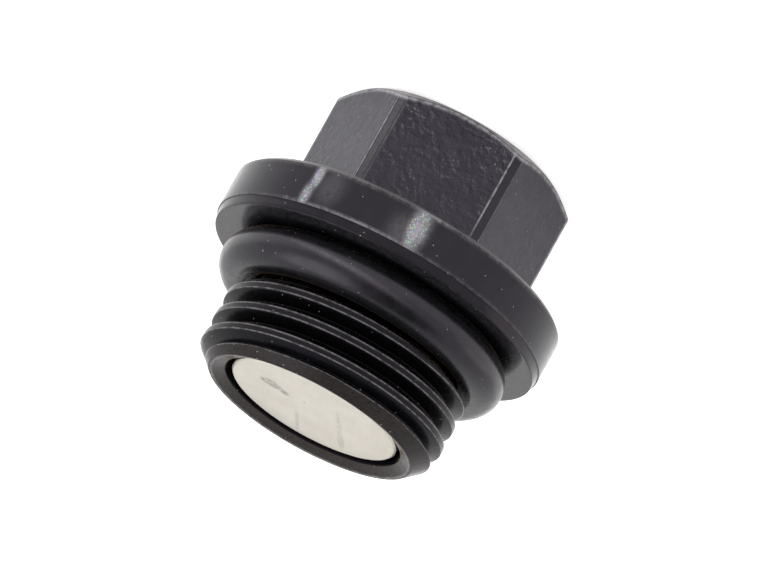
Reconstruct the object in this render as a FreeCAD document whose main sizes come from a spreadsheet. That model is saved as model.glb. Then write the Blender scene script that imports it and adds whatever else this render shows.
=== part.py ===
import FreeCAD, Part
import os
import Sketcher

# Magnetic drain plug, millimetres.
# Z runs along the axis and points out of the threaded end.
# Z = 0 is the flange face that seals on the sump, X is normal to a hex flat.

SIZES = [
    ("across_flats", 19, "hexagon across its flats"),
    ("corner_trim", 0.22, "turned off each hexagon corner, along the radius"),
    ("chamfer_width", 1.55, "chamfer around the head's top, along the radius"),
    ("head_chamfer_angle", 31, "degrees between the head chamfer and the head's top"),
    ("corner_height", 9.55, "hex corner, flange top to chamfer"),
    ("flange_diameter", 29.9, "flange outside"),
    ("flange_thickness", 4.6, "flange, top to sealing face"),
    ("flange_bevel", 0.35, "45 degree bevel on the flange's top edge"),
    ("rim_band", 0.8, "height of the turned band at the sealing face"),
    ("rim_step", 0.1, "step in from the flange side to the turned band"),
    ("rim_taper", 0.15, "further inset of the band at the sealing face"),
    ("neck_depth", 1.9, "undercut that the sealing ring sits on, below the thread's crests"),
    ("neck_length", 3.6, "undercut, sealing face to shoulder"),
    ("shoulder_angle", 30, "degrees between the thread's first shoulder and its normal plane"),
    ("thread_diameter", 21.8, "thread over its crests"),
    ("thread_pitch", 2, "thread pitch, one start, right-hand"),
    ("crest_land", 0.62, "flat on the thread crest"),
    ("flank_angle", 30, "degrees between a flank and the plane normal to the axis"),
    ("groove_start", 2, "first groove centre above the sealing face"),
    ("groove_clearance", 0.2, "how far the groove's cutting profile stands proud of the crests"),
    ("thread_length", 11.2, "sealing face to the threaded end"),
    ("lead_axial", 1.45, "lead chamfer along the axis"),
    ("lead_radial", 1.5, "lead chamfer across the axis"),
    ("end_land", 0.25, "flat rim around the dished end"),
    ("dish_depth", 0.5, "dish between the rim and the magnet pocket"),
    ("dish_width", 1.05, "dish, rim to the magnet pocket"),
    ("magnet_gap", 0.5, "adhesive gap around the magnet"),
    ("magnet_thickness", 5, "magnet height"),
    ("magnet_bevel", 0.2, "bevel around both magnet faces"),
    ("magnet_recess", 0.6, "magnet face below the threaded end"),
    ("ring_section", 4, "sealing ring cross-section"),
]

LEVELS = [
    ("corner_diameter", "across_flats / cos(30 deg) - 2 * corner_trim"),
    ("head_top_diameter", "corner_diameter - 2 * chamfer_width"),
    ("dome", "chamfer_width * tan(head_chamfer_angle * 1 deg)"),
    ("head_height", "dome + corner_height"),
    ("head_level", "head_height + flange_thickness"),
    ("neck_diameter", "thread_diameter - 2 * neck_depth"),
    ("shoulder_rise", "neck_depth * tan(shoulder_angle * 1 deg)"),
    ("thread_depth", "(thread_pitch - crest_land) / 2 / tan(flank_angle * 1 deg)"),
    ("pocket_diameter", "thread_diameter - 2 * (lead_radial + end_land + dish_width)"),
    ("magnet_diameter", "pocket_diameter - 2 * magnet_gap"),
    ("pocket_floor", "thread_length - magnet_recess - magnet_thickness"),
]

doc = FreeCAD.newDocument("drain_plug")
sheet = doc.addObject("Spreadsheet::Sheet", "Sizes")
for row, (alias, value, note) in enumerate(SIZES, 1):
    sheet.set(f"A{row}", alias)
    sheet.set(f"B{row}", str(value))
    sheet.set(f"C{row}", note)
    sheet.setAlias(f"B{row}", alias)
for row, (alias, formula) in enumerate(LEVELS, len(SIZES) + 1):
    sheet.set(f"A{row}", alias)
    sheet.set(f"B{row}", "=" + formula)
    sheet.setAlias(f"B{row}", alias)
doc.recompute()

UPRIGHT = FreeCAD.Rotation(FreeCAD.Vector(1, 0, 0), 90)


def bound(text):
    """Turns bare size names into references to the sheet."""
    names = sorted([row[0] for row in SIZES] + [row[0] for row in LEVELS], key=len, reverse=True)
    out = text
    for i, name in enumerate(names):
        out = out.replace(name, f"@{i}@")
    for i, name in enumerate(names):
        out = out.replace(f"@{i}@", f"Sizes.{name}")
    return out


def number(text):
    """Value of a size expression now."""
    return float(sheet.evalExpression(bound(text)))


def profile(name, corners, level="0"):
    """Closed outline in the XZ plane; corners are (radius, height) expressions above a level."""
    sketch = doc.addObject("Sketcher::SketchObject", name)
    sketch.Placement = FreeCAD.Placement(FreeCAD.Vector(0, 0, number(level)), UPRIGHT)
    if level != "0":
        sketch.setExpression("Placement.Base.z", bound(level))
    places = [FreeCAD.Vector(number(x), number(y), 0) for x, y in corners]
    count = len(places)
    for i in range(count):
        sketch.addGeometry(Part.LineSegment(places[i], places[(i + 1) % count]), False)
    for i in range(count):
        sketch.addConstraint(Sketcher.Constraint("Coincident", i, 2, (i + 1) % count, 1))
    for i, (x, y) in enumerate(corners):
        if x == "0":
            sketch.addConstraint(Sketcher.Constraint("PointOnObject", i, 1, -2))
        else:
            k = sketch.addConstraint(Sketcher.Constraint("DistanceX", -1, 1, i, 1, places[i].x))
            sketch.setExpression(f"Constraints[{k}]", bound(x))
        if y == "0":
            sketch.addConstraint(Sketcher.Constraint("PointOnObject", i, 1, -1))
        else:
            k = sketch.addConstraint(Sketcher.Constraint("DistanceY", -1, 1, i, 1, places[i].y))
            sketch.setExpression(f"Constraints[{k}]", bound(y))
    return sketch


def turned(name, corners, level="0"):
    """Solid of revolution about Z."""
    solid = doc.addObject("Part::Revolution", name)
    solid.Source = profile(name + "_outline", corners, level)
    solid.Axis = FreeCAD.Vector(0, 0, 1)
    solid.Base = FreeCAD.Vector(0, 0, 0)
    solid.Angle = 360
    solid.Solid = True
    return solid


# Flange, neck, thread blank and magnet pocket in one turned outline.
# Heights in this outline are above the flange's top face.
seat = "flange_thickness"
end = "flange_thickness + thread_length"
shaft = turned("shaft", [
    ("0", "0"),
    ("flange_diameter / 2 - flange_bevel", "0"),
    ("flange_diameter / 2", "flange_bevel"),
    ("flange_diameter / 2", f"{seat} - rim_band"),
    ("flange_diameter / 2 - rim_step", f"{seat} - rim_band"),
    ("flange_diameter / 2 - rim_step - rim_taper", seat),
    ("neck_diameter / 2", seat),
    ("neck_diameter / 2", f"{seat} + neck_length"),
    ("thread_diameter / 2", f"{seat} + neck_length + shoulder_rise"),
    ("thread_diameter / 2", f"{end} - lead_axial"),
    ("thread_diameter / 2 - lead_radial", end),
    ("thread_diameter / 2 - lead_radial - end_land", end),
    ("pocket_diameter / 2", f"{end} - dish_depth"),
    ("pocket_diameter / 2", f"{seat} + pocket_floor"),
    ("0", f"{seat} + pocket_floor"),
], "-flange_thickness")

# Hexagon with its corners turned down and its top chamfered; its foot is sunk in the flange.
envelope = turned("head_envelope", [
    ("0", "0"),
    ("head_top_diameter / 2", "0"),
    ("corner_diameter / 2", "dome"),
    ("corner_diameter / 2", "head_height + flange_thickness / 2"),
    ("0", "head_height + flange_thickness / 2"),
], "-head_level")
prism = doc.addObject("Part::Prism", "hex_prism")
prism.Polygon = 6
prism.setExpression("Circumradius", bound("across_flats / 2 / cos(30 deg)"))
prism.setExpression("Height", bound("head_height + flange_thickness / 2"))
prism.Placement = FreeCAD.Placement(FreeCAD.Vector(0, 0, 0), FreeCAD.Rotation(FreeCAD.Vector(0, 0, 1), 30))
prism.setExpression("Placement.Base.z", bound("-head_level"))
head = doc.addObject("Part::MultiCommon", "head")
head.Shapes = [prism, envelope]

blank = doc.addObject("Part::MultiFuse", "blank")
blank.Shapes = [head, shaft]
blank.Refine = True

# Thread groove: a V carried along a right-hand helix, from free air to free air.
helix = doc.addObject("Part::Helix", "groove_path")
helix.LocalCoord = "Right-handed"
helix.Style = "New style"
helix.SegmentLength = 1
helix.setExpression("Pitch", bound("thread_pitch"))
helix.setExpression("Height", bound("thread_length - groove_start + thread_pitch"))
helix.setExpression("Radius", bound("thread_diameter / 2"))
helix.setExpression("Placement.Base.z", bound("groove_start"))
outer = "thread_diameter / 2 + groove_clearance"
inner = "thread_diameter / 2 - thread_depth"
half_mouth = "(thread_depth + groove_clearance) * tan(flank_angle * 1 deg)"
section = profile("groove_section", [
    (inner, "thread_pitch"),
    (outer, f"thread_pitch + {half_mouth}"),
    (outer, f"thread_pitch - {half_mouth}"),
], "groove_start - thread_pitch")
doc.recompute()
groove = doc.addObject("Part::Sweep", "groove")
groove.Sections = [section]
groove.Spine = (helix, [f"Edge{i + 1}" for i in range(len(helix.Shape.Edges))])
groove.Solid = True
groove.Frenet = True
plug_body = doc.addObject("Part::Cut", "plug_body")
plug_body.Base = blank
plug_body.Tool = groove

o_ring = doc.addObject("Part::Torus", "o_ring")
o_ring.setExpression("Radius1", bound("(neck_diameter + ring_section) / 2"))
o_ring.setExpression("Radius2", bound("ring_section / 2"))
o_ring.setExpression("Placement.Base.z", bound("ring_section / 2"))

magnet = turned("magnet", [
    ("0", "0"),
    ("magnet_diameter / 2 - magnet_bevel", "0"),
    ("magnet_diameter / 2", "magnet_bevel"),
    ("magnet_diameter / 2", "magnet_thickness - magnet_bevel"),
    ("magnet_diameter / 2 - magnet_bevel", "magnet_thickness"),
    ("0", "magnet_thickness"),
], "pocket_floor")

doc.recompute()
for item in doc.Objects:
    if "Invalid" in item.State or "Error" in item.State:
        raise RuntimeError(f"{item.Name}: {item.State}")
os.makedirs("parts", exist_ok=True)
for node in (plug_body, o_ring, magnet):
    shape = node.Shape
    if shape.isNull() or not shape.isValid() or len(shape.Solids) != 1:
        raise RuntimeError(f"{node.Name}: shape is not one valid solid")
    shape.exportStep(f"parts/{node.Name}.step")
    print(f"{node.Name}: {shape.Volume:.1f} mm3, {len(shape.Faces)} faces")
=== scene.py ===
"""Magnetic drain plug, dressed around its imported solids: coated steel body, sealing ring and magnet."""
import logging
import math
from dataclasses import dataclass
from enum import Enum

import bmesh
import bpy
import numpy as np
from mathutils import Matrix, Vector, noise


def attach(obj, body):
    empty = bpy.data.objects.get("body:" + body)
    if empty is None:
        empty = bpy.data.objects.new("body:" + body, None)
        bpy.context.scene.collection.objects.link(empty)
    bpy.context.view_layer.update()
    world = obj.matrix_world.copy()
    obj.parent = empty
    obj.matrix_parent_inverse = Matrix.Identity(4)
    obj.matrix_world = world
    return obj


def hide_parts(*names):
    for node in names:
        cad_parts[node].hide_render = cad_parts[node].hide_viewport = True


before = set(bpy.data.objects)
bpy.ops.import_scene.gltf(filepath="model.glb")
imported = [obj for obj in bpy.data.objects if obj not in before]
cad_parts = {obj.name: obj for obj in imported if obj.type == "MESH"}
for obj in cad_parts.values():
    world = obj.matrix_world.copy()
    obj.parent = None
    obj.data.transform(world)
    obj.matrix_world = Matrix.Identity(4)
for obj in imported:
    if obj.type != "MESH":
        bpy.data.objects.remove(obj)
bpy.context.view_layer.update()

LOG = logging.getLogger("drain_plug")
MM = 0.001
COLUMNS = 320
WELD = 1e-4
TOUCH = 1e-6
STRAIGHT = math.radians(89)
ARC_STEP = math.radians(18)
SEED_DIRECTION = (1.0, 0.37, -0.71)
WHITE = (1.0, 1.0, 1.0)
REFRACTION = 1.5
SIDES = 6
SECTOR = 360 / SIDES

Span = tuple[float, float]
Triple = tuple[float, float, float]
Colour = tuple[float, float, float]
Signal = bpy.types.NodeSocket
Feed = Signal | float | tuple


class Socket(Enum):
    """Shader inputs that the finishes drive, by their names in Blender."""

    COLOUR = "Base Color"
    ROUGHNESS = "Roughness"
    NORMAL = "Normal"
    GLOW = "Emission Strength"


class Mask(Enum):
    """Painted-on vertex masks that tell a finish where something happens."""

    # Lighter places: crests, lead chamfer, the end's rim and the chamfers; painted light on the hexagon's
    # light turned corners.
    PALE_AND_PAINTED_LIGHT = "pale_and_painted_light"
    # Bright lines along edges: abraded coating together with painted edge highlights; on the flange they are
    # painted highlights.
    EDGE = "edge_wear_and_highlight"
    CAST = "cast_skin"
    # Stains on the magnet; painted highlights on the flange's side and on the sealing ring.
    STAIN_AND_HIGHLIGHT = "stain_and_highlight"
    # Painted shade: darkens the thread's grooves, the hexagon's dark turned corners and thin lines beside its
    # light corners.
    PAINTED_SHADE = "painted_shade_mask"


def smooth_min(a: np.ndarray, b: np.ndarray, blend: float) -> np.ndarray:
    """Lower of two surfaces with the corner between them rounded.

    Args:
        a: Heights of the first surface.
        b: Heights of the second surface.
        blend: Difference in height over which the corner is rounded.

    Returns:
        The rounded lower envelope.
    """
    share = np.clip(blend - np.abs(a - b), 0.0, None) / blend
    return np.minimum(a, b) - share * share * blend / 4


def smooth_step(low: float, high: float, value: np.ndarray) -> np.ndarray:
    """Smooth rise from 0 at low to 1 at high.

    Args:
        low: Value at which the rise starts.
        high: Value at which the rise ends.
        value: Values to map.

    Returns:
        Shares from 0 to 1.
    """
    share = np.clip((value - low) / (high - low), 0.0, 1.0)
    return share * share * (3.0 - 2.0 * share)


def bell(value: np.ndarray, middle: np.ndarray | float, reach: float) -> np.ndarray:
    """Smooth hump that is 1 at its middle and about a third at its reach."""
    return np.exp(-((value - middle) / reach) ** 2)


def direction(azimuth: float, elevation: float) -> Vector:
    """Unit vector towards a bearing and a height above the floor.

    Args:
        azimuth: Bearing in degrees.
        elevation: Height in degrees.

    Returns:
        The vector.
    """
    a, e = math.radians(azimuth), math.radians(elevation)
    return Vector((math.cos(e) * math.cos(a), math.cos(e) * math.sin(a), math.sin(e)))


def filleted(corners: list[Span], fillets: tuple[float, ...], step: float) -> np.ndarray:
    """Turns an outline's corners into a dense line with rounded corners.

    Args:
        corners: Radius and height of each corner, in millimetres.
        fillets: Radius of the rounding at each corner between the two ends.
        step: Longest distance between two neighbouring points.

    Returns:
        Radius and height of each point.
    """
    places = [np.array(corner, float) for corner in corners]
    line: list[np.ndarray] = [places[0]]
    for before, here, after, fillet in zip(places, places[1:], places[2:], fillets):
        u = (before - here) / np.linalg.norm(before - here)
        v = (after - here) / np.linalg.norm(after - here)
        half = math.acos(float(np.clip(u @ v, -1, 1))) / 2
        if fillet <= 0 or half > STRAIGHT:
            line.append(here)
            continue
        reach = fillet / math.tan(half)
        middle = here + (u + v) / np.linalg.norm(u + v) * fillet / math.sin(half)
        start, stop = here + u * reach - middle, here + v * reach - middle
        turn = math.pi - 2 * half
        pieces = max(2, round(turn / ARC_STEP))
        sign = math.copysign(1, start[0] * stop[1] - start[1] * stop[0])
        for i in range(pieces + 1):
            a = sign * turn * i / pieces
            c, s = math.cos(a), math.sin(a)
            line.append(middle + np.array([c * start[0] - s * start[1], s * start[0] + c * start[1]]))
    line.append(places[-1])
    dense = [line[0]]
    for a, b in zip(line, line[1:]):
        parts = max(1, math.ceil(np.linalg.norm(b - a) / step))
        dense += [a + (b - a) * (i + 1) / parts for i in range(parts)]
    return np.array(dense)


def ring_angles(columns: int) -> np.ndarray:
    """Angles of evenly spaced columns around the axis, in radians."""
    return np.arange(columns) * 2 * math.pi / columns


def around_axis(radius: np.ndarray, angle: np.ndarray, z: np.ndarray) -> np.ndarray:
    """Places at the given radii, angles and heights, with X, Y and Z as the last axis."""
    return np.stack([radius * np.cos(angle), radius * np.sin(angle), z + 0 * angle], -1)


def turned(line: np.ndarray, columns: int = COLUMNS) -> np.ndarray:
    """Rings of a surface turned about the axis, from the radius and height of each ring."""
    return around_axis(line[:, 0][:, None], ring_angles(columns), line[:, 1][:, None])


def bearings_of(points: np.ndarray) -> np.ndarray:
    """Bearing of each place around the axis, in degrees."""
    return np.degrees(np.arctan2(points[..., 1], points[..., 0]))


@dataclass(frozen=True)
class Lumps:
    """Gentle random unevenness of one grain size, in millimetres."""

    grain: float
    seed: float
    height: float

    def rise(self, points: np.ndarray) -> np.ndarray:
        """Height of the unevenness at each place.

        Args:
            points: Places in millimetres, with X, Y and Z as the last axis.

        Returns:
            Heights in the shape of the places.
        """
        shift = Vector(tuple(self.seed * part for part in SEED_DIRECTION))
        values = [noise.noise(Vector(place) / self.grain + shift) for place in points.reshape(-1, 3)]
        return np.array(values).reshape(points.shape[:-1]) * self.height


class MeshDraft:
    """Vertices, faces and masks of one piece while it is being built, in millimetres."""

    def __init__(self) -> None:
        """Starts an empty draft."""
        self.points: list[np.ndarray] = []
        self.faces: list[tuple[int, ...]] = []
        self.masks: dict[Mask, list[np.ndarray]] = {mask: [] for mask in Mask}
        self.count = 0

    def add(self, points: np.ndarray, masks: dict[Mask, np.ndarray]) -> int:
        """Adds vertices.

        Args:
            points: Places in millimetres, with X, Y and Z as the last axis.
            masks: Mask values of these vertices; a mask that is left out is 0.

        Returns:
            The index of the first vertex added.
        """
        first = self.count
        self.points.append(points.reshape(-1, 3))
        self.count += len(self.points[-1])
        for mask, values in self.masks.items():
            values.append(np.broadcast_to(masks.get(mask, 0.0), points.shape[:-1]).reshape(-1))
        return first

    def grid(self, points: np.ndarray, masks: dict[Mask, np.ndarray], wrap_rows: bool = False) -> None:
        """Adds rings of vertices joined by quads, each ring closed on itself.

        Args:
            points: Array of rings by columns by 3, in millimetres.
            masks: Mask values as arrays of rings by columns, or of rings by 1.
            wrap_rows: Whether the last ring joins the first.
        """
        rings, columns = points.shape[:2]
        first = self.add(points, masks)
        for i in range(rings if wrap_rows else rings - 1):
            low, high = first + i * columns, first + (i + 1) % rings * columns
            for j in range(columns):
                k = (j + 1) % columns
                self.faces.append((low + j, low + k, high + k, high + j))

    def piece(self, name: str, material: bpy.types.Material) -> bpy.types.Object:
        """Makes the Blender object and dresses it.

        Args:
            name: Name of the piece.
            material: Its finish.

        Returns:
            The object, in metres, linked to the scene.
        """
        mesh = bpy.data.meshes.new(name)
        mesh.from_pydata((np.concatenate(self.points) * MM).tolist(), [], self.faces)
        for mask, values in self.masks.items():
            joined = np.concatenate(values).astype(np.float32)
            if joined.any():
                mesh.attributes.new(mask.value, "FLOAT", "POINT").data.foreach_set("value", joined)
        shape = bmesh.new()
        shape.from_mesh(mesh)
        bmesh.ops.remove_doubles(shape, verts=shape.verts, dist=WELD * MM)
        bmesh.ops.dissolve_degenerate(shape, edges=shape.edges, dist=WELD * MM)
        bmesh.ops.recalc_face_normals(shape, faces=shape.faces)
        for face in shape.faces:
            face.smooth = True
        shape.to_mesh(mesh)
        shape.free()
        mesh.materials.append(material)
        piece = bpy.data.objects.new(name, mesh)
        bpy.context.scene.collection.objects.link(piece)
        return piece


@dataclass(frozen=True)
class Grain:
    """Random pattern: size of a feature in millimetres, number of finer layers and their strength."""

    size: float
    detail: float
    rough: float


@dataclass(frozen=True)
class Cloud(Grain):
    """Random pattern whose values from low to high are mapped to start to stop."""

    low: float
    high: float
    start: float = 0.0
    stop: float = 1.0


@dataclass(frozen=True)
class Scatter:
    """Tiny dots: distance between possible dots, radius of a dot and share of them that is there."""

    spacing: float
    size: float
    share: float


class NodeBoard:
    """Node tree, with short calls for the nodes that the finishes and the surround share."""

    def __init__(self, tree: bpy.types.NodeTree) -> None:
        """Takes up a tree."""
        self.tree = tree

    def link(self, source: Feed, target: Signal) -> None:
        """Feeds a socket from another socket or with a constant.

        Args:
            source: Socket or constant.
            target: Input to feed.
        """
        if isinstance(source, Signal):
            self.tree.links.new(source, target)
        else:
            target.default_value = source

    def node(self, kind: str, feeds: dict[str | int, Feed], **settings: str) -> bpy.types.Node:
        """Adds a node.

        Args:
            kind: Blender's name for the kind of node.
            feeds: What feeds its inputs.
            settings: Its options.

        Returns:
            The node.
        """
        node = self.tree.nodes.new(kind)
        for name, value in settings.items():
            setattr(node, name, value)
        for key, source in feeds.items():
            self.link(source, node.inputs[key])
        return node

    def span(self, value: Signal, low: float, high: float, start: float = 0.0,
             stop: Signal | float = 1.0) -> Signal:
        """Smooth clamped map of a value.

        Args:
            value: Value to map.
            low: Value that gives start.
            high: Value that gives stop.
            start: Result at low.
            stop: Result at high.

        Returns:
            The mapped value.
        """
        feeds = {"Value": value, "From Min": low, "From Max": high, "To Min": start, "To Max": stop}
        return self.node("ShaderNodeMapRange", feeds, interpolation_type="SMOOTHSTEP").outputs["Result"]

    def maths(self, operation: str, a: Signal | float, b: Signal | float) -> Signal:
        """Result of one arithmetic step."""
        return self.node("ShaderNodeMath", {0: a, 1: b}, operation=operation).outputs[0]

    def times(self, a: Signal | float, b: Signal | float) -> Signal:
        """Product of two values."""
        return self.maths("MULTIPLY", a, b)

    def bright_rays(self) -> Signal:
        """Tells the rays that see the studio as white: camera, mirror and glass rays.

        Returns:
            1 for such a ray and 0 for any other.
        """
        rays = self.node("ShaderNodeLightPath", {}).outputs
        seen = self.maths("MAXIMUM", rays["Is Camera Ray"], rays["Is Glossy Ray"])
        return self.maths("MAXIMUM", seen, rays["Is Transmission Ray"])


class NodeSheet(NodeBoard):
    """Node tree of one material, with a colour that is laid on in layers."""

    def __init__(self, name: str) -> None:
        """Starts a material with a Principled shader.

        Args:
            name: Name of the material.
        """
        self.material = bpy.data.materials.new(name)
        self.material.use_nodes = True
        super().__init__(self.material.node_tree)
        self.shader = next(n for n in self.tree.nodes if n.type == "BSDF_PRINCIPLED")
        self.place = self.node("ShaderNodeTexCoord", {}).outputs["Object"]
        self.colour: Signal | None = None

    def mask(self, mask: Mask) -> Signal:
        """Value of a vertex mask."""
        return self.node("ShaderNodeAttribute", {}, attribute_name=mask.value).outputs["Fac"]

    def stretched(self, scale: Triple, shift: Triple = (0.0, 0.0, 0.0)) -> Signal:
        """Object coordinates stretched by a factor on each axis, then shifted in millimetres."""
        feeds = {"Vector": self.place, "Scale": scale, "Location": tuple(part * MM for part in shift)}
        return self.node("ShaderNodeMapping", feeds).outputs["Vector"]

    def noise(self, grain: Grain, vector: Signal | None = None) -> Signal:
        """Random pattern.

        Args:
            grain: Its size and detail.
            vector: Coordinates, or None for the object's own.

        Returns:
            Values about 0.5.
        """
        feeds = {"Vector": vector or self.place, "Scale": 1 / (grain.size * MM), "Detail": grain.detail,
                 "Roughness": grain.rough}
        return self.node("ShaderNodeTexNoise", feeds).outputs["Fac"]

    def cloud(self, cloud: Cloud, vector: Signal | None = None) -> Signal:
        """Random pattern mapped to the cloud's own range of values."""
        return self.span(self.noise(cloud, vector), cloud.low, cloud.high, cloud.start, cloud.stop)

    def lit_relief(self, grain: Grain, shift: Triple) -> Signal:
        """Slope of a random relief towards one side, as light from there would show it.

        Args:
            grain: Size and detail of the bumps.
            shift: Short way towards the light in millimetres.

        Returns:
            Values about 0; positive where the relief falls towards the light.
        """
        here = self.noise(grain)
        beside = self.noise(grain, self.stretched((1.0, 1.0, 1.0), shift))
        return self.maths("SUBTRACT", here, beside)

    def blend(self, share: Signal | float, a: Signal | Colour, b: Signal | Colour) -> Signal:
        """Mix of two colours.

        Args:
            share: Share of the second colour.
            a: First colour.
            b: Second colour.

        Returns:
            The mixed colour.
        """
        node = self.node("ShaderNodeMix", {}, data_type="RGBA")
        for key, value in (("Factor_Float", share), ("A_Color", a), ("B_Color", b)):
            target = next(s for s in node.inputs if s.identifier == key)
            self.link((*value, 1.0) if isinstance(value, tuple) else value, target)
        return next(s for s in node.outputs if s.identifier == "Result_Color")

    def ground(self, cloud: Cloud, first: Colour, second: Colour) -> None:
        """Starts the colour, as clouds of a second one on a first one."""
        self.colour = self.blend(self.cloud(cloud), first, second)

    def lay(self, share: Signal, colour: Signal | Colour) -> None:
        """Lays a colour over the layers so far, by its share at each place."""
        self.colour = self.blend(share, self.colour, colour)

    def dots(self, scatter: Scatter) -> tuple[Signal, Signal]:
        """Scattered dots that each have a colour of their own.

        Args:
            scatter: Their size and spacing.

        Returns:
            The dots and their colours.
        """
        feeds = {"Vector": self.place, "Scale": 1 / (scatter.spacing * MM)}
        cells = self.node("ShaderNodeTexVoronoi", feeds).outputs
        rim = scatter.size / scatter.spacing
        dot = self.span(cells["Distance"], rim / 2, rim, 1.0, 0.0)
        parts = self.node("ShaderNodeSeparateColor", {0: cells["Color"]})
        chosen = self.maths("LESS_THAN", parts.outputs[0], scatter.share)
        return self.times(dot, chosen), cells["Color"]

    def dust(self, scatters: tuple[Scatter, ...], colour: Colour) -> None:
        """Lays dots of one colour and several sizes."""
        for scatter in scatters:
            self.lay(self.dots(scatter)[0], colour)

    def grazing(self, low: float) -> Signal:
        """Share of a surface that is seen at a low angle, from the facing value low up to its outline."""
        return self.span(self.node("ShaderNodeLayerWeight", {}).outputs["Facing"], low, 1.0)

    def bump(self, height: Signal, depth: float, under: Signal | None = None) -> Signal:
        """Fine relief.

        Args:
            height: Height from 0 to 1.
            depth: Real depth in millimetres.
            under: Relief that this one lies on.

        Returns:
            The bent normal.
        """
        feeds = {"Distance": depth * MM, "Height": height}
        if under is not None:
            feeds["Normal"] = under
        return self.node("ShaderNodeBump", feeds).outputs["Normal"]

    def drive(self, socket: Socket, source: Signal) -> None:
        """Feeds one of the shader's inputs."""
        self.link(source, self.shader.inputs[socket.value])

    def drive_gloss(self, level: float, cloud: Cloud, pattern: Signal) -> None:
        """Drives the roughness a little below and above its level.

        Args:
            level: Middle roughness.
            cloud: Range of the pattern; its start and stop are steps from the level.
            pattern: Random pattern that decides.
        """
        gloss = self.span(pattern, cloud.low, cloud.high, level + cloud.start, level + cloud.stop)
        self.drive(Socket.ROUGHNESS, gloss)

    def constants(self, **values: float | tuple[float, ...]) -> None:
        """Sets constant shader inputs; an underscore in a name stands for a space."""
        for name, value in values.items():
            self.shader.inputs[name.replace("_", " ")].default_value = value


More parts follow.
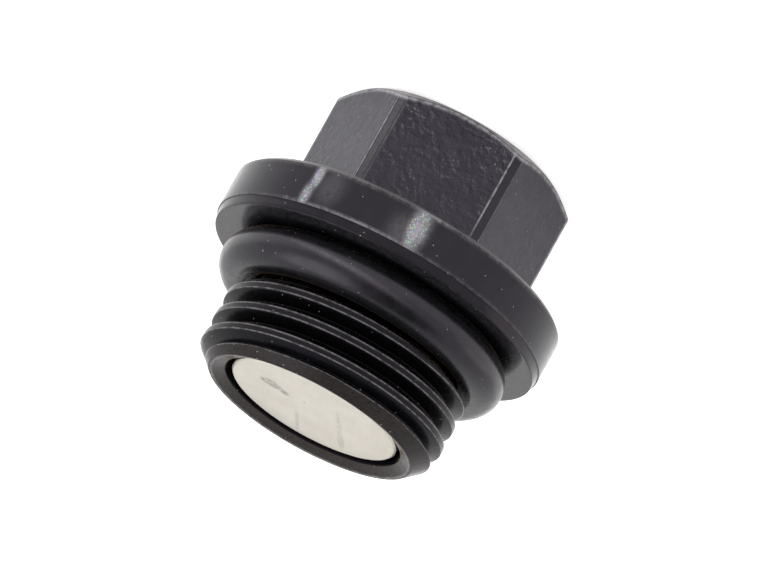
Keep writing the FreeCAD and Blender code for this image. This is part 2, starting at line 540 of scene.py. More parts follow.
@dataclass(frozen=True)
class CoatedSteel:
    """Satin black coating on machined and forged steel, abraded at the edges, with painted shade, painted
    highlights and a painted warm sheen.
    """

    name: str = "turned_coat"
    dark: Colour = (0.0075, 0.0066, 0.0092)
    light: Colour = (0.0130, 0.0115, 0.0150)
    # Colour of the lighter places, also used as painted light on the hexagon's light corners.
    crest: Colour = (0.040, 0.032, 0.029)
    # Colour of painted shade: grooves, dark corners and the shaded sides of the forged skin's bumps.
    painted_shade: Colour = (0.0032, 0.0028, 0.0034)
    # Colour of abraded edges and of painted highlights on edges and on the forged skin's lit bumps.
    edge: Colour = (0.30, 0.29, 0.30)
    dust: Colour = (0.55, 0.53, 0.50)
    # Colour of the painted highlight patches.
    painted_highlight: Colour = (0.48, 0.455, 0.485)
    # Colour of the painted warm sheen at low angles.
    painted_sheen: Colour = (0.180, 0.128, 0.080)
    gleam: Colour = (0.93, 0.86, 1.0)
    roughness: float = 0.24
    level: float = 0.38
    patches: Cloud = Cloud(1.6, 4.0, 0.6, 0.35, 0.68)
    # Breaks up the lighter places and the painted light on the corners.
    pale_cloud: Cloud = Cloud(0.25, 3.0, 0.6, 0.25, 0.6, 0.45, 1.0)
    chips: Cloud = Cloud(0.6, 4.0, 0.7, 0.36, 0.60, 0.28)
    # Relief and light direction of the painted shade and painted highlights on the forged skin.
    relief: Grain = Grain(0.55, 3.0, 0.55)
    light_shift: Triple = (0.0, 0.05, 0.10)
    shaded: Span = (0.0, -0.10)
    lit: Span = (0.035, 0.14)
    highlight_fields: Cloud = Cloud(2.4, 2.0, 0.5, 0.38, 0.66, 0.05, 0.28)
    cast_rise: Span = (0.2, 1.0)
    # Streaks of the painted highlight patches and their coloured painted glints.
    highlight_cloud: Cloud = Cloud(0.30, 4.0, 0.65, 0.10, 0.54)
    highlight_stretch: Triple = (0.7, 1.0, 0.7)
    painted_glints: Scatter = Scatter(0.15, 0.085, 0.60)
    glint_rise: Span = (0.3, 0.7)
    glint_paling: float = 0.3
    dust_dots: tuple[Scatter, ...] = (Scatter(0.6, 0.06, 0.40), Scatter(1.9, 0.09, 0.20))
    sheen_start: float = 0.76
    gloss: Cloud = Cloud(0.7, 3.0, 0.6, 0.3, 0.7, -0.05, 0.06)
    fine: Grain = Grain(0.16, 3.0, 0.55)
    fine_depth: float = 0.004
    skin: Grain = Grain(0.55, 3.0, 0.6)
    skin_depth: float = 0.03

    def forge(self, sheet: NodeSheet) -> None:
        """Paints shade and highlights on the small bumps of the rough forged skin, as light from one side
        would fall on them.

        Args:
            sheet: Sheet that takes the layers.
        """
        relief = sheet.lit_relief(self.relief, self.light_shift)
        cast = sheet.span(sheet.mask(Mask.CAST), *self.cast_rise)
        sheet.lay(sheet.times(sheet.span(relief, *self.shaded), cast), self.painted_shade)
        # Painted highlight specks on the lit sides of the bumps.
        painted_flecks = sheet.times(sheet.span(relief, *self.lit), sheet.cloud(self.highlight_fields))
        sheet.lay(sheet.times(painted_flecks, cast), self.edge)

    def paint_highlights(self, sheet: NodeSheet) -> None:
        """Lays the streaked painted highlight patches and their coloured painted glints.

        Args:
            sheet: Sheet that takes the layers.
        """
        spot = sheet.mask(Mask.STAIN_AND_HIGHLIGHT)
        highlight_share = sheet.cloud(self.highlight_cloud, sheet.stretched(self.highlight_stretch))
        sheet.lay(sheet.times(spot, highlight_share), self.painted_highlight)
        glint, tint = sheet.dots(self.painted_glints)
        glint = sheet.times(glint, sheet.span(spot, *self.glint_rise))
        sheet.lay(glint, sheet.blend(self.glint_paling, tint, WHITE))

    def material(self) -> bpy.types.Material:
        """Builds the material.

        Returns:
            The material.
        """
        sheet = NodeSheet(self.name)
        sheet.ground(self.patches, self.dark, self.light)
        # Painted shade where the shade mask is set.
        sheet.lay(sheet.mask(Mask.PAINTED_SHADE), self.painted_shade)
        # Lighter crests and chamfers, and painted light on the hexagon's light corners.
        sheet.lay(sheet.times(sheet.mask(Mask.PALE_AND_PAINTED_LIGHT), sheet.cloud(self.pale_cloud)), self.crest)
        # Abraded edges and painted edge highlights.
        sheet.lay(sheet.times(sheet.mask(Mask.EDGE), sheet.cloud(self.chips)), self.edge)
        self.forge(sheet)
        self.paint_highlights(sheet)
        sheet.dust(self.dust_dots, self.dust)
        # Painted warm sheen where the surface is seen at a low angle, left out of the painted shade.
        open_air = sheet.maths("SUBTRACT", 1.0, sheet.mask(Mask.PAINTED_SHADE))
        sheet.lay(sheet.times(sheet.grazing(self.sheen_start), open_air), self.painted_sheen)
        sheet.drive(Socket.COLOUR, sheet.colour)
        sheet.drive_gloss(self.roughness, self.gloss, sheet.noise(self.gloss))
        fine = sheet.bump(sheet.times(sheet.noise(self.fine), open_air), self.fine_depth)
        skin = sheet.times(sheet.noise(self.skin), sheet.mask(Mask.CAST))
        sheet.drive(Socket.NORMAL, sheet.bump(skin, self.skin_depth, fine))
        sheet.constants(IOR=REFRACTION, Specular_IOR_Level=self.level, Specular_Tint=(*self.gleam, 1.0))
        return sheet.material


@dataclass(frozen=True)
class NitrileRubber:
    """Matte black moulded rubber with a little dust, a painted highlight streak and a painted warm sheen at
    low angles.
    """

    dark: Colour = (0.0075, 0.0070, 0.0085)
    light: Colour = (0.0140, 0.0130, 0.0155)
    dust: Colour = (0.40, 0.38, 0.36)
    shine: Colour = (0.150, 0.128, 0.152)
    # Colour of the painted warm sheen at low angles.
    painted_sheen: Colour = (0.140, 0.102, 0.068)
    gleam: Colour = (0.93, 0.86, 1.0)
    roughness: float = 0.27
    level: float = 0.42
    haze: Cloud = Cloud(1.1, 4.0, 0.6, 0.35, 0.7)
    streaks: Cloud = Cloud(0.16, 3.0, 0.7, 0.3, 0.7, 0.35, 1.0)
    dust_dots: tuple[Scatter, ...] = (Scatter(0.6, 0.055, 0.46), Scatter(1.7, 0.09, 0.22))
    sheen_start: float = 0.72
    gloss: Cloud = Cloud(0.9, 2.0, 0.5, 0.3, 0.7, -0.03, 0.04)
    fine: Grain = Grain(0.2, 3.0, 0.6)
    fine_depth: float = 0.005

    def material(self) -> bpy.types.Material:
        """Builds the material.

        Returns:
            The material.
        """
        sheet = NodeSheet("nitrile_rubber")
        sheet.ground(self.haze, self.dark, self.light)
        # Painted highlight streak along the ring's upper front.
        sheet.lay(sheet.times(sheet.mask(Mask.STAIN_AND_HIGHLIGHT), sheet.cloud(self.streaks)), self.shine)
        sheet.dust(self.dust_dots, self.dust)
        # Painted warm sheen where the rubber is seen at a low angle.
        sheet.lay(sheet.grazing(self.sheen_start), self.painted_sheen)
        sheet.drive(Socket.COLOUR, sheet.colour)
        sheet.drive_gloss(self.roughness, self.gloss, sheet.noise(self.gloss))
        sheet.drive(Socket.NORMAL, sheet.bump(sheet.noise(self.fine), self.fine_depth))
        sheet.constants(IOR=REFRACTION, Specular_IOR_Level=self.level, Specular_Tint=(*self.gleam, 1.0))
        return sheet.material


@dataclass(frozen=True)
class NickelPlate:
    """Pale nickel plating on the magnet, ground flat and handled."""

    pale: Colour = (0.75, 0.705, 0.625)
    dull: Colour = (0.695, 0.65, 0.575)
    # Colour of the magnet's stains.
    stain_and_highlight: Colour = (0.30, 0.285, 0.26)
    roughness: float = 0.42
    metallic: float = 0.85
    haze: Cloud = Cloud(2.6, 4.0, 0.6, 0.35, 0.7)
    stains: Cloud = Cloud(0.4, 4.0, 0.7, 0.3, 0.6)
    grinding: Cloud = Cloud(0.9, 3.0, 0.6, 0.3, 0.7, -0.06, 0.06)
    grinding_stretch: Triple = (0.25, 3.0, 1.0)
    grinding_depth: float = 0.002

    def material(self) -> bpy.types.Material:
        """Builds the material.

        Returns:
            The material.
        """
        sheet = NodeSheet("nickel_plate")
        sheet.ground(self.haze, self.pale, self.dull)
        sheet.lay(sheet.times(sheet.mask(Mask.STAIN_AND_HIGHLIGHT), sheet.cloud(self.stains)), self.stain_and_highlight)
        sheet.drive(Socket.COLOUR, sheet.colour)
        lines = sheet.noise(self.grinding, sheet.stretched(self.grinding_stretch))
        sheet.drive_gloss(self.roughness, self.grinding, lines)
        sheet.drive(Socket.NORMAL, sheet.bump(lines, self.grinding_depth))
        sheet.constants(Metallic=self.metallic)
        return sheet.material


@dataclass(frozen=True)
class StudioPaper:
    """White paper that keeps the plug's shadow and looks white to camera, mirror and glass rays."""

    white: Colour = (0.92, 0.92, 0.92)
    glow: float = 0.78

    def material(self) -> bpy.types.Material:
        """Builds the material.

        Returns:
            The material.
        """
        sheet = NodeSheet("studio_paper")
        sheet.constants(Roughness=1.0, Base_Color=(*self.white, 1.0), Emission_Color=(*WHITE, 1.0))
        sheet.drive(Socket.GLOW, sheet.times(sheet.bright_rays(), self.glow))
        return sheet.material


@dataclass(frozen=True)
class HighlightPatch:
    """Soft-edged painted highlight patch on a turned side, in degrees and millimetres."""

    bearing: float
    height: float
    half_width: float
    half_height: float
    strength: float

    def share(self, bearing: np.ndarray, height: np.ndarray) -> np.ndarray:
        """How strongly the spot covers each place.

        Args:
            bearing: Bearings in degrees.
            height: Heights in millimetres.

        Returns:
            Shares from 0 to 1.
        """
        across = (bearing - self.bearing) / self.half_width
        along = (height - self.height) / self.half_height
        return self.strength * np.exp(-(across * across + along * along) ** 1.5)


@dataclass(frozen=True)
class EdgeHighlight:
    """Painted highlight line around a turned edge, faint all round and strong near one bearing."""

    bearing: float
    reach: float
    faint: float
    strong: float

    def share(self, bearing: np.ndarray) -> np.ndarray:
        """How strong the painted highlight line is at each bearing in degrees."""
        return self.faint + self.strong * bell(bearing, self.bearing, self.reach)


@dataclass
class FlangeDisc:
    """Turned flange with a bevelled top edge and a stepped band at the sealing face, in millimetres."""

    radius: float = 14.95
    thickness: float = 4.6
    bevel: float = 0.35
    rim_band: float = 0.8
    rim_step: float = 0.1
    rim_taper: float = 0.15
    fillets: tuple[float, ...] = (0.06, 0.08, 0.03, 0.02, 0.08)
    step: float = 0.32
    columns: int = 640
    side_skin: float = 0.06
    band_skin: float = 0.05
    crease_skin: float = 0.12
    line_width: float = 0.05
    # Painted highlight lines along the band's edge and along the bevel's crease.
    rim_highlight: EdgeHighlight = EdgeHighlight(14.0, 20.0, 0.35, 1.1)
    crease_highlight: EdgeHighlight = EdgeHighlight(-9.5, 3.5, 0.5, 1.0)
    bevel_fade: Span = (0.1, 0.15)
    bevel_slack: float = 0.02
    bevel_share: float = 0.6
    seat_levels: Span = (-0.03, -0.01)
    seat_radii: Span = (12.6, 13.2)
    seat_share: float = 0.08
    # Painted highlight patches on the flange's side.
    painted_highlight: tuple[HighlightPatch, ...] = (
        HighlightPatch(-5.2, -2.6, 3.3, 1.9, 1.0), HighlightPatch(-1.5, -1.8, 5.0, 1.6, 0.19),
        HighlightPatch(32.2, -3.4, 1.7, 1.2, 1.0), HighlightPatch(33.2, -1.6, 1.8, 1.2, 0.8),
        HighlightPatch(26.0, -2.8, 4.6, 1.7, 0.15),
    )
    finish: CoatedSteel = CoatedSteel(
        "flange_coat", dark=(0.0062, 0.0053, 0.0080), light=(0.0115, 0.0098, 0.0130), roughness=0.18,
        level=0.27)

    def outline(self) -> np.ndarray:
        """Draws the outline.

        Returns:
            Points from the middle of the flange's top over its side to the middle of the sealing face.
        """
        side, top, inset = self.radius, -self.thickness, self.radius - self.rim_step
        return filleted([
            (0.0, top), (side - self.bevel, top), (side, top + self.bevel), (side, -self.rim_band),
            (inset, -self.rim_band), (inset - self.rim_taper, 0.0), (0.0, 0.0),
        ], self.fillets, self.step)

    def wear_and_light(self, radius: np.ndarray, height: np.ndarray, bearing: np.ndarray) -> dict[Mask, np.ndarray]:
        """Tells where the flange is lightened: painted highlight lines along the band and the crease, painted
        highlight patches on the side, a lighter bevel and a lighter ring on the sealing face.

        Args:
            radius: Radius of each ring.
            height: Height of each ring.
            bearing: Bearing of each vertex in degrees.

        Returns:
            The masks.
        """
        side = (radius > self.radius - self.side_skin) & (height < -self.rim_band)
        start, stop = self.bevel_fade
        bevel = smooth_step(self.radius - self.bevel - start, self.radius - stop, radius)
        bevel = bevel * (height < -self.thickness + self.bevel + self.bevel_slack)
        band = bell(height, -self.rim_band, self.line_width) * (radius > self.radius - self.band_skin)
        crease = bell(height + self.thickness, self.bevel, self.line_width)
        crease = crease * (radius > self.radius - self.crease_skin)
        seat = smooth_step(*self.seat_levels, height) * smooth_step(*self.seat_radii, radius)
        # Painted highlight lines on the band and crease; painted highlight patches on the side.
        lightened = np.maximum(band * self.rim_highlight.share(bearing), crease * self.crease_highlight.share(bearing))
        stain_and_highlight = np.max([patch.share(bearing, height) for patch in self.painted_highlight], axis=0)
        return {Mask.PALE_AND_PAINTED_LIGHT: bevel * self.bevel_share, Mask.EDGE: np.maximum(lightened, seat * self.seat_share),
                Mask.STAIN_AND_HIGHLIGHT: stain_and_highlight * side}

    def build(self) -> bpy.types.Object:
        """Builds the mesh and dresses it.

        Returns:
            The finished piece.
        """
        line = self.outline()
        points = turned(line, self.columns)
        draft = MeshDraft()
        draft.grid(points, self.wear_and_light(line[:, 0][:, None], line[:, 1][:, None], bearings_of(points)))
        return draft.piece("flange_disc", self.finish.material())


@dataclass
class ThreadedShank:
    """Neck, thread and dished end with the magnet's pocket, in millimetres."""

    foot_level: float = -1.0
    neck_radius: float = 9.0
    neck_length: float = 3.6
    shoulder_angle: float = 30.0
    crest_radius: float = 10.9
    pitch: float = 2.0
    turns: int = 7
    crest_land: float = 0.62
    crest_round: float = 0.15
    root_round: float = 0.12
    flank_angle: float = 30.0
    length: float = 11.2
    lead_axial: float = 1.45
    lead_radial: float = 1.5
    end_land: float = 0.25
    dish_depth: float = 0.5
    pocket_radius: float = 8.1
    pocket_floor: float = 5.6
    mouth_fillets: tuple[float, ...] = (0.06, 0.08, 0.2)
    neck_step: float = 0.3
    mouth_step: float = 0.15
    root_rows: tuple[float, ...] = (0.0, 0.05, 0.10, 0.16)
    flank_rows: tuple[float, float, int] = (0.24, 0.13, 5)
    lip_rows: tuple[float, ...] = (-0.09, -0.06, -0.03, 0.0, 0.03, 0.06, 0.09)
    crest_rows: tuple[float, int] = (0.14, 3)
    end_slack: float = 0.02
    outer_lip: Span = (-0.035, 0.04)
    inner_lip: Span = (0.08, 0.05)
    lip_fade: Span = (0.4, 0.1)
    dark_depth: Span = (0.05, 0.3)
    dark_end: Span = (1.7, 2.6)
    lead_rise: Span = (-0.02, 0.1)
    lead_line: Span = (0.07, 0.8)
    lead_share: float = 0.6
    land_fade: Span = (0.12, 0.02)
    land_share: float = 0.10
    rim_line: Span = (0.03, 0.05)
    rim_share: float = 0.8
    rim_line_share: float = 0.9
    finish: CoatedSteel = CoatedSteel(
        dark=(0.0042, 0.0037, 0.0055), light=(0.0080, 0.0070, 0.0095), crest=(0.066, 0.056, 0.051),
        level=0.10)

    @property
    def lip(self) -> float:
        """Distance from the groove's centre to its edge, where the crest starts."""
        return (self.pitch - self.crest_land) / 2

    @property
    def lead_start(self) -> float:
        """Height at which the lead chamfer starts."""
        return self.length - self.lead_axial

    @property
    def rim_radius(self) -> float:
        """Radius of the threaded end, inside the lead chamfer."""
        return self.crest_radius - self.lead_radial

    def envelope(self, z: np.ndarray) -> np.ndarray:
        """Radius of the thread blank: shoulder cone, crest cylinder and lead chamfer.

        Args:
            z: Heights above the sealing face.

        Returns:
            The blank's radius at each height.
        """
        shoulder = self.neck_radius + (z - self.neck_length) / math.tan(math.radians(self.shoulder_angle))
        lead = self.crest_radius - (z - self.lead_start) * self.lead_radial / self.lead_axial
        return np.minimum(np.minimum(shoulder, lead), self.crest_radius)

    def groove(self, offset: np.ndarray) -> np.ndarray:
        """Radius of the cut groove's flanks and root.

        Args:
            offset: Distance along the axis from the groove's centre.

        Returns:
            The groove's radius; it rises past the crests outside the groove.
        """
        slope = 1 / math.tan(math.radians(self.flank_angle))
        flank = self.crest_radius + (np.abs(offset) - self.lip) * slope
        root = self.crest_radius - self.lip * slope
        return -smooth_min(-flank, -root + 0 * flank, self.root_round)

    def row_offsets(self) -> np.ndarray:
        """Spaces the rows over one pitch, closer together at the crest's edges.

        Returns:
            Heights of the rows from the groove's centre.
        """
        start, short, count = self.flank_rows
        flank = np.linspace(start, self.lip - short, count)
        lip = [self.lip + part for part in self.lip_rows]
        crest = np.linspace(self.lip + self.crest_rows[0], self.pitch / 2, self.crest_rows[1])
        half = np.concatenate([self.root_rows, flank, lip, crest])
        return np.concatenate([-half[:0:-1], half[:-1]])

    def wear_and_light(self, z: np.ndarray, middle: np.ndarray, radius: np.ndarray) -> dict[Mask, np.ndarray]:
        """Tells where the thread is lighter, where abraded coating and painted highlight lines run along the
        crest edges and the lead chamfer, and where painted shade darkens the grooves.

        Args:
            z: Height of each vertex.
            middle: Height of the groove's centre at each vertex.
            radius: Radius of each vertex.

        Returns:
            The masks.
        """
        groove, blank = self.groove(z - middle), self.envelope(z)
        inside = (z > self.neck_length + TOUCH) & (z < self.length - TOUCH)
        # Abraded coating and painted highlight lines along both crest edges and the lead chamfer's edge.
        outer = bell(z - middle + self.lip, *self.outer_lip)
        lightened = np.maximum(outer, bell(z - middle - self.lip, *self.inner_lip))
        lightened = lightened * smooth_step(*(self.crest_radius - part for part in self.lip_fade), radius)
        lead = smooth_step(*(self.lead_start + part for part in self.lead_rise), z) * inside
        width, strength = self.lead_line
        lightened = np.maximum(lightened, bell(groove - blank, 0.0, width) * lead * strength)
        # Painted shade in the grooves below the blank's surface, fading out towards the open end.
        painted_shade = smooth_step(*self.dark_depth, blank - radius)
        painted_shade = painted_shade * smooth_step(*(self.length - part for part in self.dark_end), z)
        land = smooth_step(*(self.crest_radius - part for part in self.land_fade), radius) * self.land_share
        crest = np.maximum(lead * self.lead_share * (groove > blank + self.end_slack), land)
        return {Mask.PALE_AND_PAINTED_LIGHT: crest, Mask.EDGE: lightened, Mask.PAINTED_SHADE: painted_shade}

    def thread(self, draft: MeshDraft) -> None:
        """Adds the thread as one strip of rows that climbs with the helix.

        Args:
            draft: Mesh that takes the strip.
        """
        offsets = self.row_offsets()
        centre = np.repeat([self.pitch * k for k in range(self.turns)], len(offsets))
        climb = self.pitch * np.arange(COLUMNS) / COLUMNS
        middle = centre[:, None] + climb[None, :]
        z = (centre + np.tile(offsets, self.turns))[:, None] + climb[None, :]
        z = np.clip(z, self.neck_length, self.length)
        self.snap(z, middle)
        groove, blank = self.groove(z - middle), self.envelope(z)
        inside = (z > self.neck_length + TOUCH) & (z < self.length - TOUCH)
        radius = np.where(inside, smooth_min(groove, blank, self.crest_round), blank)
        first = draft.add(around_axis(radius, ring_angles(COLUMNS), z), self.wear_and_light(z, middle, radius))
        self.join(draft, first, z, len(offsets))

    def join(self, draft: MeshDraft, first: int, z: np.ndarray, per_turn: int) -> None:
        """Joins the strip's vertices by quads, each turn on to the next one.

        Args:
            draft: Mesh that holds the strip.
            first: Index of the strip's first vertex.
            z: Heights of rows by columns.
            per_turn: Rows in one turn.
        """
        rows = len(z)
        for i in range(rows - 1):
            for j in range(COLUMNS):
                if j < COLUMNS - 1:
                    right = (i * COLUMNS + j + 1, (i + 1) * COLUMNS + j + 1)
                elif i + per_turn + 1 < rows:
                    right = ((i + per_turn) * COLUMNS, (i + per_turn + 1) * COLUMNS)
                else:
                    continue
                quad = (i * COLUMNS + j, right[0], right[1], (i + 1) * COLUMNS + j)
                heights = [z.flat[k] for k in quad]
                if max(heights) > self.neck_length + TOUCH and min(heights) < self.length - TOUCH:
                    draft.faces.append(tuple(first + k for k in quad))

    def snap(self, z: np.ndarray, middle: np.ndarray) -> None:
        """Slides rows onto the lines where the groove leaves the blank, so that edges are clean.

        Args:
            z: Heights of rows by columns, changed in place.
            middle: Height of the groove's centre at each vertex.
        """
        shoulder = (self.crest_radius - self.neck_radius) * math.tan(math.radians(self.shoulder_angle))
        for j in range(z.shape[1]):
            column, centres = z[:, j].copy(), middle[:, j]
            gap = self.groove(column - centres) - self.envelope(column)
            targets = [self.lead_start, self.neck_length + shoulder]
            same = centres[1:] == centres[:-1]
            for i in np.nonzero((gap[1:] * gap[:-1] < 0) & same)[0]:
                share = gap[i] / (gap[i] - gap[i + 1])
                targets.append(column[i] + share * (column[i + 1] - column[i]))
            for target in targets:
                if self.neck_length + self.end_slack < target < self.length - self.end_slack:
                    z[int(np.argmin(np.abs(column - target))), j] = target

    def neck(self) -> np.ndarray:
        """Outline from the middle of the foot, which is sunk in the flange, over the neck."""
        foot, radius = self.foot_level, self.neck_radius
        return filleted([(0.0, foot), (radius, foot), (radius, self.neck_length)], (0.0,), self.neck_step)

    def mouth(self) -> np.ndarray:
        """Draws the outline of the open end.

        Returns:
            Points from the thread's end over the dished rim to the middle of the pocket.
        """
        dish = self.length - self.dish_depth
        return filleted([
            (self.rim_radius, self.length), (self.rim_radius - self.end_land, self.length),
            (self.pocket_radius, dish), (self.pocket_radius, self.pocket_floor), (0.0, self.pocket_floor),
        ], self.mouth_fillets, self.mouth_step)

    def build(self) -> bpy.types.Object:
        """Builds the mesh and dresses it.

        Returns:
            The finished piece.
        """
        draft = MeshDraft()
        draft.grid(turned(self.neck()), {})
        self.thread(draft)
        mouth = self.mouth()
        rim = (mouth[:, 1] > self.length - self.dish_depth + self.end_slack / 2).astype(float)
        # Painted highlight lines with abraded coating along both edges of the end's rim land, which is
        # lighter itself.
        inset, width = self.rim_line
        lines = (self.rim_radius - inset, self.rim_radius - self.end_land)
        keen = sum(bell(mouth[:, 0], line, width) for line in lines) * rim
        lightened = {Mask.PALE_AND_PAINTED_LIGHT: (rim * self.rim_share)[:, None], Mask.EDGE: (keen * self.rim_line_share)[:, None]}
        draft.grid(turned(mouth), lightened)
        return draft.piece("threaded_shank", self.finish.material())


@dataclass
class HexHead:
    """Forged hexagon with turned corners and a chamfered top, in millimetres and degrees."""

    half_flats: float = 9.5
    corner_radius: float = 10.75
    top_radius: float = 9.2
    chamfer_angle: float = 31.0
    level: float = -15.0813
    foot_level: float = -4.2
    corner_round: float = 0.03
    chamfer_round: float = 0.06
    flat_columns: tuple[float, int] = (1.2, 36)
    edge_columns: tuple[float, ...] = (-0.8, -0.6, -0.4, -0.2, 0.0, 0.2, 0.4, 0.7, 1.1, 1.6)
    wall_rows: tuple[float, int] = (0.985, 90)
    brow_rows: tuple[float, ...] = (0.992, 0.997, 1.0)
    cone_rows: tuple[float, ...] = (0.02, 0.05)
    cone_steps: tuple[float, int] = (0.1, 11)
    top_rings: int = 32
    cap_rings: int = 6
    flat_reach: float = 27.9
    flat_fade: float = 1.6
    skin_fade: Span = (0.05, 0.5)
    front_face: int = 0
    side_skin: float = 0.3
    unevenness: tuple[Lumps, ...] = (Lumps(0.9, 3.0, 0.014), Lumps(0.45, 7.0, 0.009))
    brow_line: Span = (0.18, 0.14)
    edge_line: Span = (-0.3, 0.3)
    far_edge_share: float = 0.25
    corner_rim: Span = (0.2, 0.35)
    corner_start: float = -0.1
    chamfer_share: float = 0.6
    rim_share: float = 0.8
    # Sectors whose turned corner gets painted light; the others get painted shade.
    bright_corners: tuple[int, ...] = (0, 2)
    finish: CoatedSteel = CoatedSteel(
        "forged_coat", dark=(0.020, 0.017, 0.027), light=(0.036, 0.032, 0.045), crest=(0.100, 0.095, 0.100),
        edge=(0.62, 0.60, 0.62), roughness=0.30, skin_depth=0.12)

    @property
    def edge_bearing(self) -> float:
        """Angle from the middle of a flat to the turned corner's edge, in degrees."""
        return math.degrees(math.acos(self.half_flats / self.corner_radius))

    @property
    def wall(self) -> np.ndarray:
        """Shares of the way from the foot to the chamfer at which the wall's rows lie."""
        return np.concatenate([np.linspace(0, *self.wall_rows), self.brow_rows])

    @property
    def cone(self) -> np.ndarray:
        """Shares of the way over the chamfer at which its rows lie."""
        start, count = self.cone_steps
        return np.concatenate([self.cone_rows, np.linspace(start, 1.0, count)])

    def bearings(self) -> np.ndarray:
        """Spaces the columns, closer together at the corners' edges.

        Returns:
            Angles of the columns in radians.
        """
        short, count = self.flat_columns
        flat = np.linspace(0, self.edge_bearing - short, count)
        half = np.concatenate([flat, self.edge_bearing + np.array(self.edge_columns), [SECTOR / 2]])
        sector = np.concatenate([-half[:0:-1], half[:-1]])
        return np.radians(np.concatenate([sector + SECTOR * k for k in range(SIDES)]))

    def rows(self, fold: np.ndarray) -> tuple[np.ndarray, np.ndarray, np.ndarray]:
        """Lays the rows from the foot over the wall and the chamfer to the middle of the top.

        Args:
            fold: Angle of each column from the middle of its flat.

        Returns:
            Radii, heights and the height of the chamfer's lower edge at each column.
        """
        flat = self.half_flats / np.cos(fold)
        side = smooth_min(flat, np.full_like(flat, self.corner_radius), self.corner_round)
        slope = math.tan(math.radians(self.chamfer_angle))
        brow = self.level + (side - self.top_radius) * slope
        z_wall = self.foot_level + self.wall[:, None] * (brow - self.foot_level)[None, :]
        z_cone = brow[None, :] + self.cone[:, None] * (self.level - brow)[None, :]
        z = np.concatenate([z_wall, z_cone])
        chamfer = self.top_radius + (z - self.level) / slope
        radius = smooth_min(np.broadcast_to(side, z.shape), chamfer, self.chamfer_round)
        ring = np.linspace(1.0, 0.0, self.top_rings)[1:]
        radius = np.concatenate([radius, ring[:, None] * radius[-1][None, :]])
        z = np.concatenate([z, np.full((len(ring), len(fold)), self.level)])
        return radius, z, brow

    def skin(self, angle: np.ndarray, fold: np.ndarray, above: np.ndarray) -> np.ndarray:
        """Tells where the flats are rough, most of all on the face that the camera sees.

        Args:
            angle: Angle of each column.
            fold: Angle of each column from the middle of its flat.
            above: Height of each vertex above the chamfer's lower edge.

        Returns:
            Shares from 0 to 1.
        """
        fade, reach = math.radians(self.flat_fade), math.radians(self.flat_reach)
        flatness = smooth_step(0.0, fade, reach - np.abs(fold))
        rows = np.arange(len(above))[:, None]
        on_wall = (rows < len(self.wall) - 2) * smooth_step(*self.skin_fade, above)
        return flatness * on_wall * np.where(self.faces(angle) == self.front_face, 1.0, self.side_skin)

    def faces(self, angle: np.ndarray) -> np.ndarray:
        """Number of the face that each column belongs to."""
        return np.round(angle / (math.pi / 3)).astype(int) % SIDES

    def wear_and_light(self, angle: np.ndarray, fold: np.ndarray, above: np.ndarray) -> dict[Mask, np.ndarray]:
        """Tells which edges are abraded and carry painted highlight lines, which turned corners get painted
        light and which get painted shade, and how light the chamfer is.

        Args:
            angle: Angle of each column.
            fold: Angle of each column from the middle of its flat.
            above: Height of each vertex above the chamfer's lower edge.

        Returns:
            The masks.
        """
        rows = np.arange(len(above))[:, None]
        on_side = rows < len(self.wall)
        on_cone = ~on_side & (rows < len(self.wall) + len(self.cone))
        reach = np.degrees(np.abs(fold)) - self.edge_bearing
        corner = (reach > self.corner_start) & on_side
        # Painted light on the listed corners, painted shade on the others, and painted shade beside the light
        # corners' rims.
        bright = np.isin(np.floor(np.degrees(angle) % 360 / SECTOR).astype(int), self.bright_corners)
        # Painted highlight line along each corner's edge, stronger on one side of the corner than the other.
        line = bell(reach, *self.edge_line) * on_side * np.where(fold < 0, 1.0, self.far_edge_share)
        rims = bell(reach, *self.corner_rim) * on_side
        return {
            Mask.EDGE: np.maximum(bell(above, *self.brow_line) * on_side, line),
            Mask.PALE_AND_PAINTED_LIGHT: np.maximum(on_cone * self.chamfer_share, corner * bright * (1 - rims)),
            Mask.PAINTED_SHADE: np.maximum(corner * ~bright, rims * bright * self.rim_share),
        }

    def build(self) -> bpy.types.Object:
        """Builds the mesh and dresses it.

        Returns:
            The finished piece.
        """
        angle = self.bearings()
        fold = (angle + math.pi / 6) % (math.pi / 3) - math.pi / 6
        radius, z, brow = self.rows(fold)
        points = around_axis(radius, angle, z)
        foot = points[0]
        skin = self.skin(angle, fold, z - brow)
        outward = around_axis(np.ones_like(angle), self.faces(angle) * math.pi / 3, np.zeros_like(angle))
        rise = skin * sum(lumps.rise(points) for lumps in self.unevenness)
        draft = MeshDraft()
        draft.grid(points + rise[..., None] * outward, {Mask.CAST: skin, **self.wear_and_light(angle, fold, z - brow)})
        shrink = np.linspace(1.0, 0.0, self.cap_rings)[:, None, None]
        draft.grid(foot[None] * np.concatenate([shrink, shrink, np.ones_like(shrink)], -1), {})
        return draft.piece("hex_head", self.finish.material())


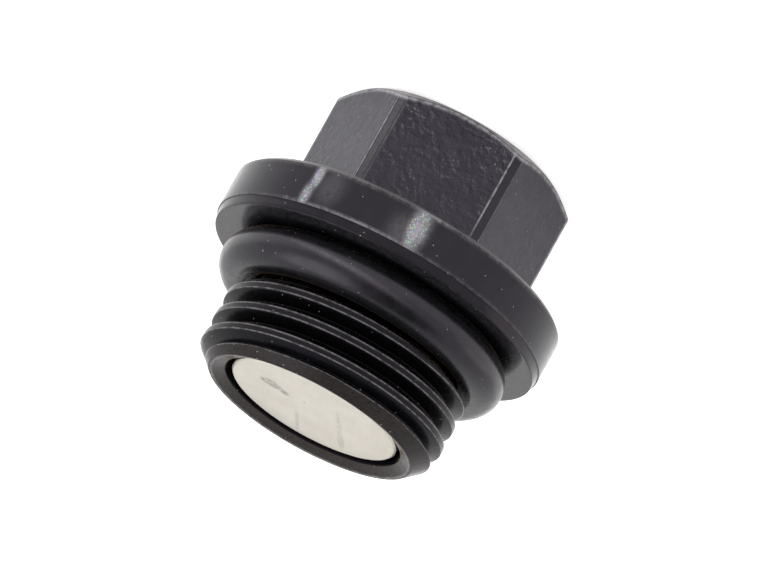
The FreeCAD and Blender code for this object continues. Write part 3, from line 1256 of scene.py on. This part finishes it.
@dataclass
class SealRing:
    """Moulded sealing ring under the flange, in millimetres and degrees."""

    centre_radius: float = 11.0
    section_radius: float = 2.0
    around: int = 128
    columns: int = 480
    streak_bearing: float = 14.0
    streak_rise: float = 4.0
    streak_slope: float = 0.52
    streak_width: float = 6.5
    streak_length: float = 22.0
    finish: NitrileRubber = NitrileRubber()

    def build(self) -> bpy.types.Object:
        """Builds the mesh and dresses it.

        Returns:
            The finished piece.
        """
        turn = ring_angles(self.around)
        line = np.stack([self.centre_radius + self.section_radius * np.cos(turn),
                         self.section_radius + self.section_radius * np.sin(turn)], -1)
        points = turned(line, self.columns)
        bearing = bearings_of(points)
        rise = bearings_of(line - (self.centre_radius, self.section_radius))[:, None]
        # Painted highlight streak: a slanting band across the upper front of the ring.
        middle = self.streak_rise + (self.streak_bearing - bearing) * self.streak_slope
        streak = bell(rise, middle, self.streak_width)
        streak = streak * bell(bearing, self.streak_bearing, self.streak_length)
        draft = MeshDraft()
        draft.grid(points, {Mask.STAIN_AND_HIGHLIGHT: streak}, wrap_rows=True)
        return draft.piece("seal_ring", self.finish.material())


@dataclass(frozen=True)
class Mark:
    """Soft oval stain on a flat face, in millimetres and degrees."""

    x: float
    y: float
    turn: float
    half_length: float
    half_width: float
    strength: float
    rim: Span = (1.25, 0.8)

    def share(self, x: np.ndarray, y: np.ndarray) -> np.ndarray:
        """How strongly the stain covers each place.

        Args:
            x: Places along X.
            y: Places along Y.

        Returns:
            Shares from 0 to 1.
        """
        c, s = math.cos(math.radians(self.turn)), math.sin(math.radians(self.turn))
        along = ((x - self.x) * c + (y - self.y) * s) / self.half_length
        across = ((y - self.y) * c - (x - self.x) * s) / self.half_width
        return self.strength * smooth_step(*self.rim, np.sqrt(along * along + across * across))


@dataclass
class MagnetDisc:
    """Disc magnet in the threaded end, in millimetres."""

    radius: float = 7.6
    bevel: float = 0.2
    low: float = 5.6
    high: float = 10.6
    fillets: tuple[float, ...] = (0.05, 0.05, 0.08, 0.08)
    step: float = 0.2
    face_skin: float = 0.01
    marks: tuple[Mark, ...] = (
        Mark(1.45, 4.0, 71.0, 1.0, 0.75, 0.75), Mark(1.0, 2.95, 60.0, 0.75, 0.42, 0.9),
        Mark(-4.34, 1.11, 5.2, 2.2, 0.16, 0.40), Mark(-1.22, -2.55, 7.3, 4.3, 0.22, 0.30),
        Mark(-4.1, -2.95, 7.3, 1.6, 0.30, 0.35),
        Mark(1.0, 0.9, 0.0, 0.16, 0.12, 0.7),
    )
    finish: NickelPlate = NickelPlate()

    def build(self) -> bpy.types.Object:
        """Builds the mesh and dresses it.

        Returns:
            The finished piece.
        """
        inner = self.radius - self.bevel
        line = filleted([
            (0.0, self.low), (inner, self.low), (self.radius, self.low + self.bevel),
            (self.radius, self.high - self.bevel), (inner, self.high), (0.0, self.high),
        ], self.fillets, self.step)
        points = turned(line)
        stains = np.max([mark.share(points[..., 0], points[..., 1]) for mark in self.marks], axis=0)
        on_face = (line[:, 1] > self.high - self.face_skin)[:, None]
        draft = MeshDraft()
        draft.grid(points, {Mask.STAIN_AND_HIGHLIGHT: stains * on_face})
        return draft.piece("magnet_disc", self.finish.material())


@dataclass
class StudioCamera:
    """Long-lens camera at the photograph's viewing angle."""

    azimuth: float = -4.3
    elevation: float = 17.4
    axis_right: float = -0.487
    axis_up: float = -0.873
    pixels_per_mm: float = 12.174
    origin_pixel: Span = (373.1, 303.1)
    frame_pixels: tuple[int, int] = (760, 570)
    distance: float = 1.0
    sensor: float = 36.0
    clip: Span = (0.01, 20.0)

    def build(self) -> bpy.types.Object:
        """Places the camera.

        Returns:
            The scene's camera.
        """
        back = direction(self.azimuth, self.elevation)
        axis = (Vector((0, 0, 1)) - back * back.z).normalized()
        side = back.cross(axis)
        size = math.hypot(self.axis_right, self.axis_up)
        along, across = self.axis_right / size, -self.axis_up / size
        right = axis * along + side * across
        up = -axis * across + side * along
        scale = MM / self.pixels_per_mm
        shift_right = (self.frame_pixels[0] / 2 - self.origin_pixel[0]) * scale
        shift_up = (self.origin_pixel[1] - self.frame_pixels[1] / 2) * scale
        data = bpy.data.cameras.new("studio_camera")
        data.sensor_width = self.sensor
        data.lens = self.sensor * self.distance / (self.frame_pixels[0] * scale)
        data.clip_start, data.clip_end = self.clip
        camera = bpy.data.objects.new("studio_camera", data)
        bpy.context.scene.collection.objects.link(camera)
        turn = Matrix((right, up, back)).transposed().to_4x4()
        place = right * shift_right + up * shift_up + back * self.distance
        camera.matrix_world = Matrix.Translation(place) @ turn
        bpy.context.scene.camera = camera
        return camera


@dataclass(frozen=True)
class SoftBox:
    """One round area lamp, aimed at the plug."""

    name: str
    azimuth: float
    elevation: float
    distance: float
    size: float
    power: float
    colour: Colour = WHITE

    def build(self) -> bpy.types.Object:
        """Places the lamp.

        Returns:
            The lamp.
        """
        data = bpy.data.lights.new(self.name, "AREA")
        data.shape = "DISK"
        data.size = self.size
        data.energy = self.power
        data.color = self.colour
        lamp = bpy.data.objects.new(self.name, data)
        away = direction(self.azimuth, self.elevation)
        lamp.location = away * self.distance
        lamp.rotation_mode = "QUATERNION"
        lamp.rotation_quaternion = away.to_track_quat("Z", "Y")
        bpy.context.scene.collection.objects.link(lamp)
        return lamp


@dataclass
class Studio:
    """White paper floor, soft lamps and an even white surround with a grey spot overhead."""

    floor_level: float = -15.0813
    floor_gap: float = 0.02
    floor_half: float = 3.0
    floor_squares: int = 8
    ambient: float = 0.55
    ceiling: float = 0.10
    dark_azimuth: float = -22.0
    dark_elevation: float = 55.0
    dark_reach: Span = (35.0, 26.0)
    paper: StudioPaper = StudioPaper()
    lamps: tuple[SoftBox, ...] = (
        SoftBox("lamp_over", 60.0, 50.0, 0.6, 0.55, 1.2),
        SoftBox("lamp_right", -95.0, -4.0, 0.6, 0.50, 0.5, (1.0, 0.84, 0.70)),
    )

    def floor(self) -> bpy.types.Object:
        """Lays the paper under the head.

        Returns:
            The floor.
        """
        mesh = bpy.data.meshes.new("paper_floor")
        shape = bmesh.new()
        squares, level = self.floor_squares, (self.floor_level - self.floor_gap) * MM
        bmesh.ops.create_grid(shape, x_segments=squares, y_segments=squares, size=self.floor_half)
        bmesh.ops.translate(shape, verts=shape.verts, vec=(0, 0, level))
        shape.to_mesh(mesh)
        shape.free()
        mesh.materials.append(self.paper.material())
        floor = bpy.data.objects.new("paper_floor", mesh)
        bpy.context.scene.collection.objects.link(floor)
        return floor

    def surround(self) -> None:
        """Makes the world white with a grey spot overhead, alike for camera, mirror and glass rays."""
        world = bpy.data.worlds.new("surround")
        bpy.context.scene.world = world
        world.use_nodes = True
        board = NodeBoard(world.node_tree)
        sight = board.node("ShaderNodeTexCoord", {}).outputs["Generated"]
        spot = direction(self.dark_azimuth, self.dark_elevation)
        toward = board.node("ShaderNodeVectorMath", {0: sight, 1: tuple(spot)}, operation="DOT_PRODUCT")
        outer, inner = (math.cos(math.radians(angle)) for angle in self.dark_reach)
        seen = board.span(toward.outputs["Value"], outer, inner, 1.0, self.ceiling)
        level = board.span(board.bright_rays(), 0.0, 1.0, self.ambient, seen)
        ground = next(n for n in board.tree.nodes if n.type == "BACKGROUND")
        board.link((*WHITE, 1.0), ground.inputs["Color"])
        board.link(level, ground.inputs["Strength"])

    def build(self) -> None:
        """Sets up floor, surround and lamps."""
        bpy.context.scene.view_settings.view_transform = "Standard"
        self.floor()
        self.surround()
        for lamp in self.lamps:
            lamp.build()


def mount(piece: bpy.types.Object, nodes: tuple[str, ...]) -> None:
    """Puts a finished piece in place of its solids.

    Args:
        piece: The finished piece.
        nodes: Solids that it stands for.
    """
    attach(piece, "root")
    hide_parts(*nodes)
    triangles = sum(len(face.vertices) - 2 for face in piece.data.polygons)
    LOG.info("%s: %d triangles", piece.name, triangles)


def main() -> None:
    """Builds the plug and the studio."""
    logging.basicConfig(level=logging.INFO, format="%(name)s %(message)s")
    mount(HexHead().build(), ("plug_body",))
    mount(FlangeDisc().build(), ("plug_body",))
    mount(ThreadedShank().build(), ("plug_body",))
    mount(SealRing().build(), ("o_ring",))
    mount(MagnetDisc().build(), ("magnet",))
    Studio().build()
    StudioCamera().build()


if __name__ == "__main__":
    main()
